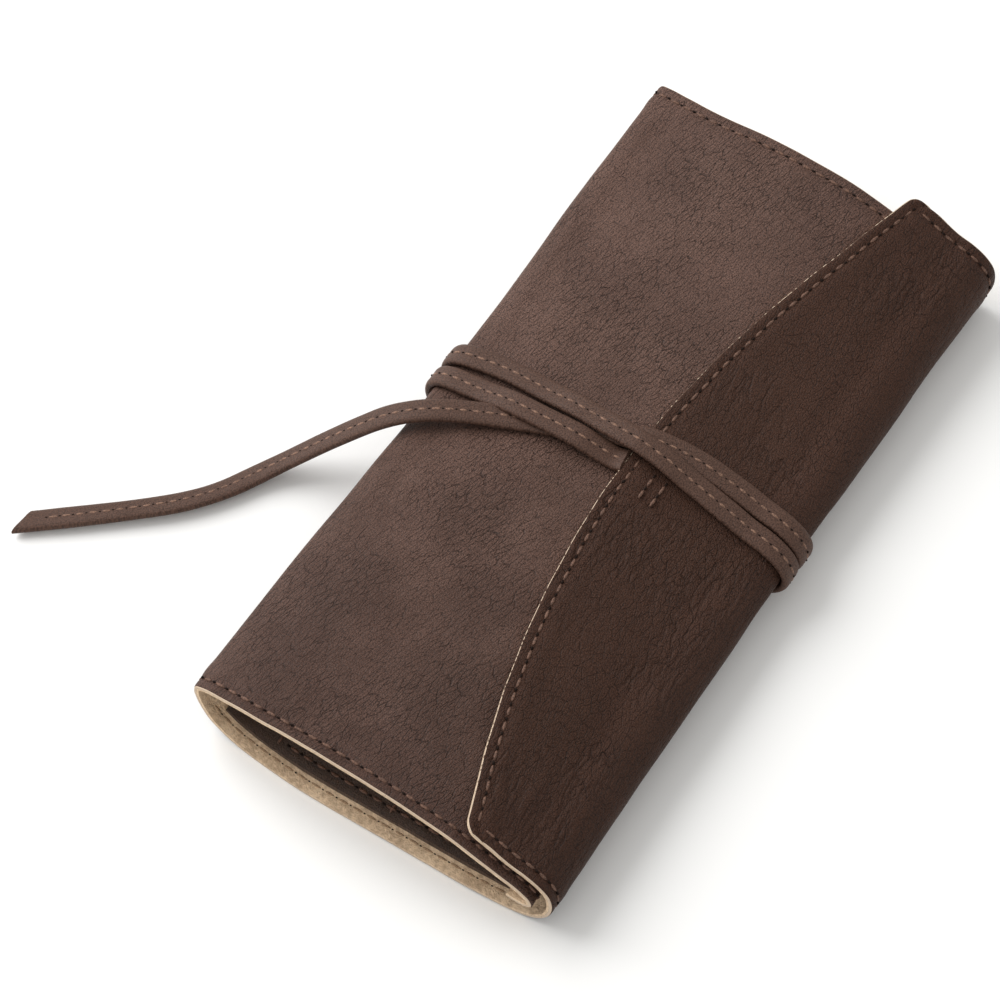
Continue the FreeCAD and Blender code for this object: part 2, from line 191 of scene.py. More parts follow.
def leather(name, colour, crease_shade, lit_and_worn, grain, stretch, lines, folds, depth, gloss, rough=0.5, lean=0.24):
    """Grained leather on a piece's own map in centimetres, its grain drawn out along the second way."""
    f = Finish(name)
    place = f.node("ShaderNodeUVMap", {"uv_map": "run"}, {})
    stray = f.noise(place, 3.2, 3.0, output=1)
    stray_by = {0: stray, 1: (0.12, 0.16, 0.0), 2: place}
    bent = f.node("ShaderNodeVectorMath", {"operation": "MULTIPLY_ADD"}, stray_by)

    def drawn_out(length):
        turned = {"Vector": bent, "Scale": (1, length, 1), "Rotation": (0, 0, -lean)}
        return f.node("ShaderNodeMapping", {"vector_type": "TEXTURE"}, turned)

    def cells(on, scale, border):
        flat = {"feature": "DISTANCE_TO_EDGE", "voronoi_dimensions": "2D"}
        to_edge = f.node("ShaderNodeTexVoronoi", flat, {"Vector": on, "Scale": scale})
        return f.step(to_edge, 0.0, border, 1.0, 0.0)

    drawn = drawn_out(stretch)
    small = cells(drawn, grain * 2.0, 0.2)
    pebble = cells(bent, 17.0, 0.3)
    patch = f.step(f.noise(place, 0.42, 3.0), 0.34, 0.66, 0.55, 1.0)
    broken = f.step(f.noise(drawn, grain * 0.7, 2.0), 0.32, 0.58, 0.35, 1.0)
    crack = cells(drawn, grain, 0.10) * patch * broken
    wave = f.node("ShaderNodeMath", {"operation": "ABSOLUTE"}, {0: f.noise(drawn_out(3.2), 3.0, 2.0) - 0.5})
    fold = f.step(wave, 0.0, 0.11, 1.0, 0.0) * f.step(f.noise(place, 0.30, 2.0), 0.44, 0.60)
    speck = f.noise(place, 26.0, 4.0)
    # Painted shade: the crack, cell, pebble and fold lines are painted darker towards the second colour, on
    # top of their bump. The fine speckle leaves tiny lighter dots, partly the grain's own tone and partly
    # painted highlight on its small cells.
    dark = crack * lines + small * patch * lines * 0.45 + pebble * 0.12 + fold * 0.12 * folds
    dark = dark + f.step(speck, 0.38, 0.6, 0.62, 0.0)
    # Painted light: where the map's second way runs along the roll, its far end takes the lighter third
    # colour, standing for the lit far end of the roll. The cloud also mixes that colour in at random, as
    # patches of wear. On a strap the far-end share covers all but its first centimetre.
    far_end_light = f.step(f.node("ShaderNodeSeparateXYZ", {}, {"Vector": place}, output=1), -7.5, 1.0)
    cloud = f.step(f.noise(place, 0.55, 3.0), 0.35, 0.7)
    body = f.mixed(far_end_light * 0.6 + cloud * 0.4, colour, lit_and_worn)
    height = 1.0 - crack * 0.8 - small * patch * 0.3 - pebble * 0.25 - fold * folds + speck * 0.5
    sheen = f.step(speck, 0.3, 0.7, rough - 0.06, rough + 0.1)
    return f.done(f.mixed(dark, body, crease_shade), sheen, height, depth, gloss)


def thread_finish(name, light, dark):
    """Waxed thread, with its twist as small ridges."""
    f = Finish(name)
    place = f.node("ShaderNodeTexCoord", {}, {}, output=3)
    ply = f.noise(place, 2600.0, 2.0)
    return f.done(f.mixed(f.step(ply, 0.35, 0.65), dark, light), 0.6 + ply * 0.1, ply, 0.00008, 0.3)


def hole_finish(name, colour):
    """The shaded inside of a needle hole."""
    f = Finish(name)
    place = f.node("ShaderNodeTexCoord", {}, {}, output=3)
    ply = f.noise(place, 1500.0, 2.0)
    return f.done(f.mixed(ply, colour, (0.006, 0.004, 0.003, 1)), 0.9 - ply * 0.1, ply, 0.00004, 0.1)


def piece(name, points, faces, slots, run, materials):
    """A mesh object from points in millimetres, with a material number for each face and the map run."""
    mesh = bpy.data.meshes.new(name)
    mesh.from_pydata((np.asarray(points) * MM).tolist(), [], faces)
    for material in materials:
        mesh.materials.append(material)
    mesh.polygons.foreach_set("material_index", np.asarray(slots, np.int32))
    mesh.polygons.foreach_set("use_smooth", np.ones(len(faces), bool))
    corners = np.empty(len(mesh.loops), np.int32)
    mesh.loops.foreach_get("vertex_index", corners)
    centimetres = (np.asarray(run)[corners] / 10).astype(np.float32)
    mesh.uv_layers.new(name="run").data.foreach_set("uv", centimetres.ravel())
    mesh.set_sharp_from_angle(angle=math.radians(48))
    made = bpy.data.objects.new(name, mesh)
    bpy.context.collection.objects.link(made)
    return made


def unit(vectors):
    """vectors at length 1."""
    return vectors / np.linalg.norm(vectors, axis=-1, keepdims=True)


def strap(name, path, ups, material, slant=0.0):
    """The folded strap on a path: round edges, a sunk seam down the middle, its last end cut aslant."""
    path = np.asarray(path)
    along = unit(np.gradient(path, axis=0))
    across = unit(np.cross(ups, along))
    ups = np.cross(along, across)
    run = np.concatenate([[0], np.cumsum(np.linalg.norm(np.diff(path, axis=0), axis=1))])
    around = 26
    turn = np.arange(around) * (2 * math.pi / around)
    wide = np.sign(np.cos(turn)) * np.abs(np.cos(turn))**0.62 * TIE_WIDTH / 2
    high = np.sign(np.sin(turn)) * np.abs(np.sin(turn))**0.72 * TIE_THICK / 2
    high = high - np.where(high > 0, 0.34 * np.exp(-(wide / 0.75)**2), 0.0)
    swell = np.array([noise.noise(Vector((r * 0.11, len(name), 3.7))) for r in run])
    points, maps = [], []
    for i in range(len(path)):
        cut = slant * wide / 3 * max(0.0, 1 - (run[-1] - run[i]) / 5)
        ring = path[i] + np.outer(wide * (1 + 0.045 * swell[i]), across[i]) + np.outer(high, ups[i])
        points.append(ring + np.outer(cut, along[i]))
        maps.append(np.stack([wide + 40 * (len(name) % 3), np.full(around, run[i])], axis=1))
    faces = []
    for i in range(len(path) - 1):
        for k in range(around):
            n = (k + 1) % around
            here, ahead = i * around, i * around + around
            faces.append((here + k, here + n, ahead + n, ahead + k))
    last = (len(path) - 1) * around
    faces.append(tuple(range(around - 1, -1, -1)))
    faces.append(tuple(last + k for k in range(around)))
    made = piece(name, np.concatenate(points), faces, [0] * len(faces), np.concatenate(maps), [material])
    seam = path + ups * (TIE_THICK / 2 - 0.30)
    return made, seam, ups, run


def tree_node(tree, kind, settings, inputs):
    """A node of a geometry tree, its inputs given as sockets or plain values."""
    made = tree.nodes.new(kind)
    for name, value in settings.items():
        setattr(made, name, value)
    for name, value in inputs.items():
        if isinstance(value, bpy.types.NodeSocket):
            tree.links.new(value, made.inputs[name])
        else:
            made.inputs[name].default_value = value
    return made


def stitch_tree():
    """Puts one bead of thread and one dark needle hole at each point, turned by its along and up."""
    tree = bpy.data.node_groups.new("stitch_row", "GeometryNodeTree")
    tree.interface.new_socket("Places", in_out="INPUT", socket_type="NodeSocketGeometry")
    sizes = {"Long": 2.9, "Wide": 0.75, "High": 0.55, "Step": 1.9, "Hole": 0.5}
    for name, size in sizes.items():
        socket = tree.interface.new_socket(name, in_out="INPUT", socket_type="NodeSocketFloat")
        socket.default_value = size * MM
    for name in ("Thread", "Pit"):
        tree.interface.new_socket(name, in_out="INPUT", socket_type="NodeSocketMaterial")
    tree.interface.new_socket("Row", in_out="OUTPUT", socket_type="NodeSocketGeometry")
    given = tree.nodes.new("NodeGroupInput").outputs

    def add(kind, settings, inputs, output=0):
        return tree_node(tree, kind, settings, inputs).outputs[output]

    vector = {"data_type": "FLOAT_VECTOR"}
    along = add("GeometryNodeInputNamedAttribute", vector, {"Name": "along"}, "Attribute")
    up = add("GeometryNodeInputNamedAttribute", vector, {"Name": "up"}, "Attribute")
    first = add("FunctionNodeAlignRotationToVector", {"axis": "X"}, {"Vector": along})
    about_x = {"axis": "Z", "pivot_axis": "X"}
    turned = add("FunctionNodeAlignRotationToVector", about_x, {"Rotation": first, "Vector": up})
    stray = add("FunctionNodeRandomValue", {"data_type": "FLOAT"}, {2: 0.86, 3: 1.06, "Seed": 11}, 1)
    length = add("ShaderNodeMath", {"operation": "MULTIPLY"}, {0: given["Long"], 1: stray})
    thread_size = add("ShaderNodeCombineXYZ", {}, {0: length, 1: given["Wide"], 2: given["High"]})
    bead = add("GeometryNodeMeshUVSphere", {}, {"Segments": 7, "Rings": 5, "Radius": 0.5})
    threads = add(
        "GeometryNodeInstanceOnPoints", {},
        {"Points": given["Places"], "Instance": bead, "Rotation": turned, "Scale": thread_size},
    )
    ahead = add("ShaderNodeVectorMath", {"operation": "SCALE"}, {0: along, "Scale": given["Step"]})
    moved = add("GeometryNodeSetPosition", {}, {"Geometry": given["Places"], "Offset": ahead})
    pit = add("ShaderNodeCombineXYZ", {}, {0: given["Hole"], 1: given["Hole"], 2: given["High"]})
    small = add("GeometryNodeMeshUVSphere", {}, {"Segments": 7, "Rings": 4, "Radius": 1.0})
    flat = add("ShaderNodeVectorMath", {"operation": "MULTIPLY"}, {0: pit, 1: (1.7, 1.0, 0.5)})
    pits = add(
        "GeometryNodeInstanceOnPoints", {},
        {"Points": moved, "Instance": small, "Rotation": turned, "Scale": flat},
    )
    whole = tree.nodes.new("GeometryNodeJoinGeometry")
    for part, material in ((threads, "Thread"), (pits, "Pit")):
        real = add("GeometryNodeRealizeInstances", {}, {"Geometry": part})
        dressed = add("GeometryNodeSetMaterial", {}, {"Geometry": real, "Material": given[material]})
        tree.links.new(dressed, whole.inputs[0])
    tree.links.new(whole.outputs[0], tree.nodes.new("NodeGroupOutput").inputs[0])
    return tree


stitch_row = stitch_tree()


def stitches(name, places, along, up, thread, pit, **sizes):
    """A sewn row as one plain mesh. places, along and up are arrays, places and sizes in millimetres."""
    mesh = bpy.data.meshes.new(name)
    mesh.from_pydata((np.asarray(places) * MM).tolist(), [], [])
    for attribute, vectors in (("along", along), ("up", up)):
        layer = mesh.attributes.new(attribute, "FLOAT_VECTOR", "POINT")
        layer.data.foreach_set("vector", np.asarray(vectors, np.float32).ravel())
    made = bpy.data.objects.new(name, mesh)
    bpy.context.collection.objects.link(made)
    sewing = made.modifiers.new("sewing", "NODES")
    sewing.node_group = stitch_row
    names = {item.name: item.identifier for item in stitch_row.interface.items_tree if item.in_out == "INPUT"}
    sewing[names["Thread"]] = thread
    sewing[names["Pit"]] = pit
    for size, value in sizes.items():
        sewing[names[size]] = value * MM
    bpy.context.view_layer.update()
    sewn = bpy.data.meshes.new_from_object(made.evaluated_get(bpy.context.evaluated_depsgraph_get()))
    made.modifiers.remove(sewing)
    made.data = sewn
    sewn.name = name
    sewn.polygons.foreach_set("use_smooth", np.ones(len(sewn.polygons), bool))
    return made


def sewn_seam(name, seam, ups, run, thread, pit, start, end):
    """The row down the middle of the strap, a thread every TIE_PITCH along it."""
    at = start + TIE_PITCH * (np.arange(int((end - start) / TIE_PITCH)) + 0.5)

    def along_seam(vectors):
        return np.stack([np.interp(at, run, vectors[:, k]) for k in range(3)], axis=1)

    along = unit(along_seam(unit(np.gradient(seam, axis=0))))
    sizes = {"Long": 2.55, "Wide": 0.8, "High": 0.66, "Step": TIE_PITCH / 2, "Hole": 0.26}
    return stitches(name, along_seam(seam), along, unit(along_seam(ups)), thread, pit, **sizes)


tie_brown = leather(
    "tie_leather", (0.092, 0.0475, 0.0330, 1), (0.030, 0.015, 0.0105, 1), (0.113, 0.0615, 0.0432, 1),
    grain=9.0, stretch=1.5, lines=0.2, folds=0.1, depth=0.00009, gloss=0.20, rough=0.52,
)
tie_thread = thread_finish("tie_thread", (0.27, 0.155, 0.105, 1), (0.11, 0.060, 0.040, 1))
needle_hole = hole_finish("needle_hole", (0.022, 0.013, 0.010, 1))

line = bpy.data.curves.new("tail_line", "CURVE")
line.dimensions = "3D"
line.resolution_u = 12
spline = line.splines.new("NURBS")
spline.points.add(len(TAIL) - 1)
for point, (x, y, z) in zip(spline.points, TAIL):
    point.co = (x * MM, y * MM, z * MM, 1)
spline.order_u = 3
spline.use_endpoint_u = True
line_object = bpy.data.objects.new("tail_line", line)
line_mesh = bpy.data.meshes.new_from_object(line_object)
tail_path = np.array([v.co for v in line_mesh.vertices]) / MM
bpy.data.objects.remove(line_object)
bpy.data.meshes.remove(line_mesh)

tail_along = unit(np.gradient(tail_path, axis=0))
tail_side = unit(np.cross(np.array([0.0, 0.0, 1.0]), tail_along))
tail_share = np.linspace(0, 1, len(tail_path))[:, None]
tail_lean = np.radians(19) * np.clip((tail_share - 0.2) / 0.35, 0, 1)
tail_lean = tail_lean * np.clip((1.25 - tail_share) / 0.5, 0, 1)
tail_up = np.cross(tail_along, tail_side) * np.cos(tail_lean) - tail_side * np.sin(tail_lean)
tail, tail_seam, tail_ups, tail_run = strap("tie_tail_strap", tail_path, tail_up, tie_brown, slant=2.6)
tail_row = (tail_seam, tail_ups, tail_run, tie_thread, needle_hole, 1.0, tail_run[-1] - 3.0)
tail_thread = sewn_seam("tie_tail_thread", *tail_row)
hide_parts("tie_tail")
for part in (tail, tail_thread):
    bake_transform(part)
float(tail_run[-1] * MM)


# Flap and back. One piece of pebbled dark brown cowhide runs from the flap's rounded edge, round
# the right fold and under the roll. It is 0.9 mm thick, with a raw pale edge and a seam beside it.
LEATHER = 0.9
SUEDE = 0.6
HALF = 97.5
SEAM_INSET = 2.7
ROW_PITCH = 3.8
OUTLINE = [
    (0.5, 30.5), (3.5, 30.25), (8.0, 29.65), (14.0, 28.5), (20.0, 26.9), (26.0, 24.95), (32.0, 22.75),
    (37.5, 20.4), (41.5, 19.55), (45.3, 17.6), (48.1, 14.2), (49.0, 10.0), (48.0, 5.7), (45.4, 2.5),
    (41.8, 0.5), (38.0, 0.0), (30.0, 0.0), (15.0, 0.0), (0.0, 0.0), (-15.0, 0.0), (-26.0, 0.0), (-31.5, 0.05),
    (-36.0, 0.5), (-40.6, 1.9), (-44.6, 4.8), (-47.2, 9.2), (-48.6, 14.3), (-49.0, 18.2), (-48.1, 20.6),
    (-46.0, 21.55), (-41.0, 22.8), (-36.0, 24.2), (-28.0, 26.0), (-20.0, 27.2), (-12.0, 27.8), (-4.0, 28.0),
    (4.0, 27.7), (12.0, 26.8), (20.0, 25.1), (26.0, 23.2), (31.0, 21.2), (36.5, 18.9), (41.2, 16.6),
    (44.2, 13.9), (44.6, 11.6), (43.0, 10.3), (40.4, 10.3), (37.5, 10.9),
]


def curve_through(points, count=24):
    """A smooth line through points, as evenly close places."""
    points = np.asarray(points, float)
    before = np.vstack([2 * points[0] - points[1], points[:-1]])
    after = np.vstack([points[1:], 2 * points[-1] - points[-2]])
    gaps = np.linalg.norm(np.diff(points, axis=0), axis=1)
    gap_in = np.concatenate([[gaps[0]], gaps])[:, None]
    gap_out = np.concatenate([gaps, [gaps[-1]]])[:, None]
    slope = ((points - before) / gap_in * gap_out + (after - points) / gap_out * gap_in) / (gap_in + gap_out)
    found = []
    for i, gap in enumerate(gaps):
        t = np.linspace(0, 1, count, endpoint=False)[:, None]
        found.append(
            points[i] * (2 * t**3 - 3 * t**2 + 1) + slope[i] * gap * (t**3 - 2 * t**2 + t)
            + points[i + 1] * (3 * t**2 - 2 * t**3) + slope[i + 1] * gap * (t**3 - t**2)
        )
    return np.vstack(found + [points[-1:]])


def soften(values, reach):
    """values averaged over reach neighbours each side, twice."""
    for _ in range(2):
        padded = np.concatenate([np.full(reach, values[0]), values, np.full(reach, values[-1])])
        values = np.convolve(padded, np.ones(2 * reach + 1) / (2 * reach + 1), "valid")
    return values


rough_line = curve_through(OUTLINE)
rough_run = np.concatenate([[0], np.cumsum(np.linalg.norm(np.diff(rough_line, axis=0), axis=1))])
RUN = np.arange(0, rough_run[-1], 0.2)
LINE_X = np.interp(RUN, rough_run, rough_line[:, 0])
LINE_Z = np.interp(RUN, rough_run, rough_line[:, 1])
RUN_RIGHT = RUN[np.argmax(LINE_X)]
RUN_LEFT = RUN[np.argmin(LINE_X)]
RUN_END = RUN[-1]
under = (RUN > RUN_RIGHT) & (RUN < RUN_LEFT)
RUN_JOIN = RUN[under][np.argmin(np.abs(LINE_X[under] + 33.0))]
crown_share = 0.4 + 0.6 * np.maximum(0, 1 - (LINE_X / 44)**2)
side_share = np.where(LINE_X > 0, 0.053 * np.maximum(0, LINE_Z - 10), 0.4 * LINE_Z / 18.5)
on_side = (LINE_X > 38.5) | under
SINK_SHARE = soften(np.where(on_side & (RUN < RUN_LEFT), side_share, crown_share), 8)
LIFT_SHARE = soften(np.where(RUN < RUN_LEFT + 4, np.maximum(0, 1 - LINE_Z / 12), 0), 8)
LEFT_SHARE = soften(np.clip((-LINE_X - 24) / 25, 0, 1)**1.5 * np.clip(LINE_Z / 15, 0, 1), 10)
SKEW_STOPS = [
    (0, 2.8), (RUN_RIGHT - 6, 1.6), (RUN_RIGHT + 2, 1.1), (RUN_RIGHT + 30, -0.6), (RUN_LEFT - 45, -0.9),
    (RUN_LEFT - 4, 1.9), (RUN_LEFT + 28, 0.2), (RUN_END, -0.6),
]


def eased(at, stops):
    """A value that passes from stop to stop in soft steps."""
    at = np.asarray(at, float)
    places = np.array([s[0] for s in stops], float)
    values = np.array([s[1] for s in stops], float)
    i = np.clip(np.searchsorted(places, at) - 1, 0, len(places) - 2)
    k = np.clip((at - places[i]) / (places[i + 1] - places[i]), 0, 1)
    k = k * k * (3 - 2 * k)
    return values[i] + (values[i + 1] - values[i]) * k


def sway(run, y):
    """The slack of the leather: long shallow swells, in millimetres."""
    spots = np.stack([run.ravel() / 21, y.ravel() / 34], axis=1)
    swell = np.array([noise.noise(Vector((a, b, 0.4))) for a, b in spots]).reshape(run.shape)
    fine = np.array([noise.noise(Vector((a * 2.7, b * 2.1, 5.1))) for a, b in spots]).reshape(run.shape)
    held = 1 - 0.65 * np.exp(-((y - 8) / 16)**2)
    return (swell * 0.55 + fine * 0.2) * held


def place(run, y):
    """Where the outer face of the leather lies: run goes along the spiral, y along the roll."""
    run, y = np.broadcast_arrays(np.asarray(run, float), np.asarray(y, float))
    sink = eased(y, [(-97.5, 2.9), (-6, 7.0), (22, 7.0), (97.5, 1.2)])
    on_front = eased(run, [(RUN_LEFT, 0), (RUN_LEFT + 26, 1), (RUN_END, 1)])
    sink = sink + 2.8 * on_front * eased(y, [(-97.5, 1), (-45, 0)])
    lift = eased(y, [(-17, 0), (-6, 2.7), (22, 2.7), (33, 0)])
    width = eased(y, [(-97.5, 0.998), (-6, 0.961), (22, 0.958), (97.5, 0.957)])
    tip = eased(y, [(-97.5, -3.7), (-6, -0.6), (22, -0.3), (97.5, 1.9)])
    x = np.interp(run, RUN, LINE_X) * width
    z = np.interp(run, RUN, LINE_Z)
    z = z - sink * np.interp(run, RUN, SINK_SHARE) + lift * np.interp(run, RUN, LIFT_SHARE)
    z = z + tip * np.interp(run, RUN, LEFT_SHARE)
    skew = eased(run, SKEW_STOPS) * np.clip(np.abs(y - 8) / 60, 0, 1)
    far_skew = eased(run, [(0, 4.2), (RUN_RIGHT, 3.0), (RUN_RIGHT + 25, 0)])
    skew = skew + far_skew * np.clip((y - 30) / 67.5, 0, 1)
    return np.stack([x, y + skew, z], axis=-1)


def outward(run, y, step=0.45):
    """Unit direction out of the roll."""
    by_run = place(run + step, y) - place(run - step, y)
    by_y = place(run, y + step) - place(run, y - step)
    return unit(np.cross(by_run, by_y))


def steps(start, end, pitch):
    """Even places between start and end, with close ones at both rims."""
    rim = np.array([0, 0.16, 0.4, 0.8, 1.4, 2.0])
    inner = np.linspace(start + 2.6, end - 2.6, max(2, int((end - start - 5.2) / pitch) + 1))
    return np.concatenate([start + rim, inner, end - rim[::-1]])


FLAP_BOW = [
    (-97.5, 25.4), (-82.0, 19.5), (-61.0, 13.0), (-40.0, 8.0), (-20.0, 5.2), (0.0, 4.0), (20.0, 4.8),
    (40.0, 7.8), (58.0, 12.0), (76.0, 17.6), (97.5, 23.6),
]
bow_line = curve_through(FLAP_BOW)


def flap_start(y):
    """Run at which the flap begins, so that its edge is a shallow bow with small round corners."""
    x = np.interp(y, bow_line[:, 0], bow_line[:, 1])
    corner_radius = 2.6
    corner = np.maximum(0, corner_radius - (HALF - np.abs(y)))
    x = x + corner_radius - np.sqrt(np.maximum(0, corner_radius**2 - corner**2))
    near = RUN < RUN_RIGHT
    waver = 0.10 * np.sin(y * 0.13) + 0.05 * np.sin(y * 0.43 + 1)
    return np.interp(x + waver, LINE_X[near], RUN[near])


def welt(d):
    """Height of the leather beside a seam, by distance from the rim."""
    return -0.34 * np.exp(-((d - SEAM_INSET) / 0.6)**2) + 0.2 * np.exp(-((d - 5.4) / 2.0)**2)


def lamina(name, runs, ys, near_depth, far_depth, materials, raised=None, rims=(2, 2, 2, 2), pale=True):
    """A closed skin between two depths under the outline.

    rims holds the materials of its start, end, near and far rims. A pale rim also shows on the face."""
    points = place(runs, ys)
    out = outward(runs, ys)
    shared = sway(runs, ys)[..., None]
    top = points + out * (shared - near_depth)
    if raised is not None:
        top = top + out * raised[..., None]
    bottom = points + out * (shared - np.broadcast_to(far_depth, runs.shape)[..., None])
    ny, nr = runs.shape
    index = np.arange(ny * nr).reshape(ny, nr)
    a, b, c, d = index[:-1, :-1], index[:-1, 1:], index[1:, 1:], index[1:, :-1]
    upper = np.stack([a, b, c, d], axis=-1).reshape(-1, 4)
    lower = np.stack([a, d, c, b], axis=-1).reshape(-1, 4) + ny * nr
    face_slots = np.zeros((ny - 1, nr - 1), int)
    if pale:
        face_slots[0, :], face_slots[-1, :] = rims[2], rims[3]
        face_slots[:, 0], face_slots[:, -1] = rims[0], rims[1]
    faces = [upper, lower]
    slots = [face_slots.reshape(-1), np.ones(len(lower), int)]
    for rim, material in zip((index[:, 0], index[::-1, -1], index[0, ::-1], index[-1, :]), rims):
        wall = np.stack([rim[:-1], rim[1:], rim[1:] + ny * nr, rim[:-1] + ny * nr], axis=-1)
        faces.append(wall)
        slots.append(np.full(len(wall), material))
    run_map = np.stack([runs, ys], axis=-1).reshape(-1, 2)
    return piece(
        name, np.concatenate([top.reshape(-1, 3), bottom.reshape(-1, 3)]),
        np.concatenate(faces).tolist(), np.concatenate(slots), np.concatenate([run_map, run_map]), materials,
    )


def rim_bevel(d):
    """How far the finished face rounds off towards a cut rim."""
    return -0.32 * (1 - np.clip(d / 0.8, 0, 1))**2.2


def raw_edge(name, light, brown):
    """Cut edge of the hide: pale fibres at the mouths, mostly browned along the flap's far half."""
    f = Finish(name)
    place_on = f.node("ShaderNodeTexCoord", {}, {}, output=3)
    y = f.node("ShaderNodeSeparateXYZ", {}, {"Vector": place_on}, output=1)
    browned = f.step(y, -0.095, -0.080, 0.28, 0.44) + f.step(y, -0.02, 0.02, 0.0, 0.12)
    browned = browned - f.step(y, 0.094, 0.097, 0.0, 0.26)
    spots = f.step(f.noise(place_on, 1000.0, 3.0) - browned, -0.05, 0.05)
    fuzz = f.noise(place_on, 2200.0, 3.0)
    fibres = f.mixed(fuzz, light, (0.50, 0.38, 0.27, 1))
    return f.done(f.mixed(spots, brown, fibres), 0.85 + fuzz * 0.1, fuzz, 0.0002, 0.15)


# Painted shade: the flap gets a darker copy of the front's hide colours, standing for the shade it lies in.
# Its lighter third colour is the painted light of the far end.
shaded_flap_hide = leather(
    "cover_leather_flap", (0.060, 0.0270, 0.0165, 1), (0.017, 0.0078, 0.0050, 1), (0.074, 0.0345, 0.0220, 1),
    grain=6.5, stretch=2.2, lines=0.2, folds=1.1, depth=0.00030, gloss=0.12, rough=0.50, lean=-0.1,
)
hide_edge = raw_edge("cover_cut_edge", (0.66, 0.53, 0.41, 1), (0.09, 0.055, 0.040, 1))
flesh_side = leather(
    "cover_back", (0.16, 0.11, 0.08, 1), (0.08, 0.05, 0.04, 1), (0.2, 0.14, 0.1, 1),
    grain=9.0, stretch=1.0, lines=0.2, folds=0.2, depth=0.0001, gloss=0.2, rough=0.8,
)

flap_y = np.unique(np.round(steps(-HALF, HALF, 1.25), 4))[:, None]
edge_rim = np.array([[0, 0.16, 0.4, 0.8, 1.4, 2.0, 2.7, 3.4]])
inner_share = np.linspace(0, 1, 140)[None, 1:]
flap_runs = np.hstack([
    flap_start(flap_y) + edge_rim,
    flap_start(flap_y) + 3.4 + (RUN_JOIN - flap_start(flap_y) - 3.4) * inner_share,
])
flap_ys = np.broadcast_to(flap_y, flap_runs.shape)
from_edge = (flap_runs - flap_start(flap_y)) * 0.98
from_end = HALF - np.abs(flap_ys)
flap_raised = welt(from_edge) + welt(from_end) + rim_bevel(from_edge) + rim_bevel(from_end)
tab_bulge = np.exp(-((from_edge - 9) / 7.5)**4) * np.exp(-((flap_ys - 4.0) / 3.6)**4)
flap_raised = flap_raised + 0.3 * tab_bulge
flap_skins = [shaded_flap_hide, flesh_side, hide_edge]
flap = lamina(
    "flap_and_back_leather", flap_runs, flap_ys, 0.0, LEATHER, flap_skins, flap_raised, rims=(2, 1, 2, 2),
)
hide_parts("flap_cover", "right_fold_cover", "back_cover")
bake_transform(flap)


# Front. The same hide, turned in at the left fold and over the pens. Its free end curls under
# itself beneath the flap, and its two ends carry the same seam.
front_y = np.unique(np.round(steps(-HALF, HALF, 1.25), 4))[:, None]
front_runs, front_ys = np.broadcast_arrays(steps(RUN_JOIN, RUN_END, 0.95)[None, :], front_y)
from_front_end = HALF - np.abs(front_ys)
front_raised = welt(from_front_end) + rim_bevel(from_front_end)
# Painted light: the third colour, about twice as light as the first, is laid on the front's far end as the
# lit part of the roll.
front_hide = leather(
    "cover_leather_front", (0.082, 0.0410, 0.0290, 1), (0.026, 0.0130, 0.0090, 1), (0.162, 0.0910, 0.0690, 1),
    grain=9.0, stretch=4.4, lines=0.5, folds=0.35, depth=0.00021, gloss=0.18, rough=0.5,
)
front_skins = [front_hide, flesh_side, hide_edge]
front = lamina(
    "front_leather", front_runs, front_ys, 0.0, LEATHER, front_skins, front_raised, rims=(0, 2, 2, 2),
)
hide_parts("front_cover", "left_fold_cover")
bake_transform(front)


# Lining. Tan suede, 0.6 mm thick, glued to the whole flesh side and sewn in with the same seams.
# It shows at the near mouth as a band a finger wide.
def suede_finish(name, light, dark):
    """Brushed suede, its nap lying in lighter and darker patches."""
    f = Finish(name)
    place_on = f.node("ShaderNodeTexCoord", {}, {}, output=3)
    nap = f.noise(place_on, 900.0, 4.0)
    brushed = f.noise(place_on, 90.0, 3.0)
    lint = f.step(f.noise(place_on, 2600.0, 2.0), 0.3, 0.7)
    tone = f.step(nap * 0.6 + brushed * 0.4, 0.36, 0.64)
    return f.done(f.mixed(tone, dark, light), 0.92 + lint * 0.06, nap * 0.7 + lint * 0.3, 0.00035, 0.12)


suede = suede_finish("suede_lining", (0.80, 0.61, 0.42, 1), (0.50, 0.365, 0.245, 1))
suede_seam = 0.22 * np.exp(-((np.minimum(from_edge, from_end) - SEAM_INSET) / 0.7)**2)
flap_lining = lamina(
    "flap_and_back_lining", flap_runs, flap_ys, LEATHER + 0.02, LEATHER + SUEDE + 0.02 - suede_seam,
    [suede] * 3, pale=False,
)
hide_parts("flap_lining", "right_fold_lining", "back_lining")
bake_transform(flap_lining)
front_suede_seam = 0.22 * np.exp(-((from_front_end - SEAM_INSET) / 0.7)**2)
front_lining = lamina(
    "front_lining_suede", front_runs, front_ys, LEATHER + 0.02, LEATHER + SUEDE + 0.02 - front_suede_seam,
    [suede] * 3, pale=False,
)
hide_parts("front_lining", "left_fold_lining")
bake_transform(front_lining)


# Pocket panel. Thin dark leather, sewn on the lining in four slots that stand a little open,
# a finger's width in from the near end.
POCKET_NEAR = -93.6
POCKET_FAR = 47.0
SLOT_SEAMS = (-28.5, 3.0, 34.5)
SLOT_WIDTH = 31.5


def run_of(x):
    """Run at which the underside passes x."""
    return RUN[under][np.argmin(np.abs(LINE_X[under] - x))]


def puffed(x):
    """How open a slot stands at x, from 0 on its seams to 1 midway."""
    slot_share = np.mod(x - SLOT_SEAMS[0], SLOT_WIDTH) / SLOT_WIDTH
    return np.sin(math.pi * slot_share)**0.8


